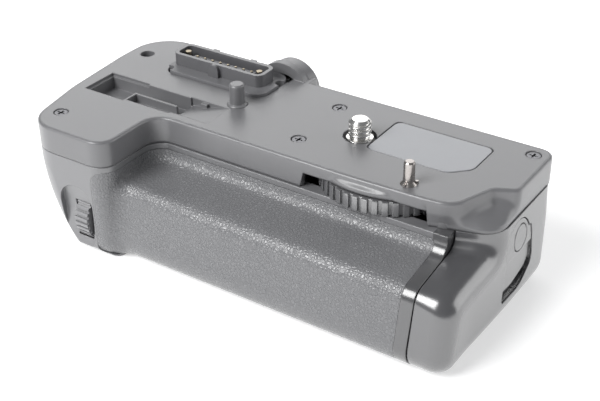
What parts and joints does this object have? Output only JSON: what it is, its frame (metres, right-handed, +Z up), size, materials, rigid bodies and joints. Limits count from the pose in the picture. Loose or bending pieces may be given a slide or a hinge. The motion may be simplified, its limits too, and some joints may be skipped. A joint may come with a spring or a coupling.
{
  "type": "camera battery grip",
  "caption": "Handle that screws under a camera and holds its batteries in a sliding tray, with a geared fixing wheel, vertical shutter button, dials and a folding tray latch.",
  "frame": {"origin": "centre of the base of the bounding box", "axes": "+Z up through the top plate, along the mounting screw; +X along the handle to the tray's end cap; -Y the front"},
  "size_m": [0.1404, 0.071, 0.0446],
  "materials": {
    "case_black": "fine satin grain",
    "grip_rubber": "leather grain",
    "label_grey": "satin film",
    "gasket": "smooth matt",
    "connector_black": "moulded",
    "contact_gold": "bright plate",
    "nickel": "bright nickel",
    "black_screw": "black finish",
    "steel": "plain steel",
    "brass": "turned brass",
    "board": "solder mask",
    "wheel_black": "fine satin",
    "dial_rubber": "ribbed",
    "button_silver": "satin metal paint",
    "tray_black": "moulded",
    "cap_black": "semi gloss"
  },
  "bodies": {
    "case": {"upper_case": "case_black", "lower_case": "case_black", "grip_rubber": "grip_rubber", "label_plate": "label_grey", "connector_gasket": "gasket", "connector_shroud": "connector_black", "connector_contacts": "contact_gold", "guide_pin_plastic": "case_black", "guide_pin_metal": "nickel", "case_screws": "black_screw", "wheel_plate": "steel", "plate_screw": "steel", "tripod_bush": "brass", "main_board": "board", "contact_block": "connector_black", "contact_pins": "contact_gold", "front_axle": "steel", "rear_axle": "steel", "shutter_switch": "connector_black", "hold_switch": "connector_black", "selector_housing": "case_black", "selector_switch": "connector_black"},
    "wheel": {"attachment_wheel": "wheel_black"},
    "screw": {"mounting_screw": "nickel", "screw_pinion": "brass", "screw_clip": "steel"},
    "front_dial": {"front_dial": "dial_rubber"},
    "rear_dial": {"rear_dial": "dial_rubber"},
    "shutter_button": {"shutter_button": "button_silver"},
    "shutter_lock": {"shutter_lock": "wheel_black"},
    "hold_button": {"hold_button": "wheel_black"},
    "selector_gimbal": {"selector_gimbal": "steel"},
    "selector_pad": {"selector_pad": "dial_rubber"},
    "tray": {"battery_tray": "tray_black", "end_cap": "cap_black", "tray_contacts": "contact_gold", "cap_screws": "steel", "latch_hub": "cap_black", "latch_pin": "steel", "latch_bolt": "steel"},
    "latch_tab": {"latch_tab": "cap_black"}
  },
  "joints": [
    {"name": "wheel_turn", "type": "hinge", "parent": "case", "child": "wheel", "pos_m": [0.0325, 0.00515, 0.0323], "axis": [0, 0, 1], "continuous": true},
    {"name": "screw_turn", "type": "hinge", "parent": "case", "child": "screw", "pos_m": [0.0202, 0.0079, 0.038], "axis": [0, 0, 1], "continuous": true},
    {"name": "front_dial_turn", "type": "hinge", "parent": "case", "child": "front_dial", "pos_m": [-0.0467, -0.0269, 0.01], "axis": [1, 0, 0], "continuous": true},
    {"name": "rear_dial_turn", "type": "hinge", "parent": "case", "child": "rear_dial", "pos_m": [-0.0518, 0.0249, 0.016], "axis": [1, 0, 0], "continuous": true},
    {"name": "shutter_press", "type": "slide", "parent": "case", "child": "shutter_button", "axis": [1, 0, 0], "range_m": [0, 0.0012], "stiffness_N_per_m": 600},
    {"name": "shutter_lock_turn", "type": "hinge", "parent": "case", "child": "shutter_lock", "pos_m": [-0.0633, -0.0141, 0.0185], "axis": [1, 0, 0], "range_deg": [0, 40]},
    {"name": "hold_press", "type": "slide", "parent": "case", "child": "hold_button", "axis": [0, -1, 0], "range_m": [0, 0.0008], "stiffness_N_per_m": 600},
    {"name": "selector_up_down", "type": "hinge", "parent": "case", "child": "selector_gimbal", "pos_m": [-0.018, 0.0313, 0.0331], "axis": [1, 0, 0], "range_deg": [-5, 5], "stiffness_Nm_per_rad": 0.05},
    {"name": "selector_left_right", "type": "hinge", "parent": "selector_gimbal", "child": "selector_pad", "pos_m": [-0.018, 0.0313, 0.0331], "axis": [0, 0, 1], "range_deg": [-5, 5], "stiffness_Nm_per_rad": 0.05},
    {"name": "tray_slide", "type": "slide", "parent": "case", "child": "tray", "axis": [1, 0, 0], "range_m": [0, 0.086]},
    {"name": "latch_fold", "type": "hinge", "parent": "tray", "child": "latch_tab", "pos_m": [0.0675, 0.0035, 0.0164], "axis": [0, -1, 0], "range_deg": [0, 80]}
  ],
  "couplings": [
    {"joint": "screw_turn", "follows": "wheel_turn", "ratio": 4}
  ]
}
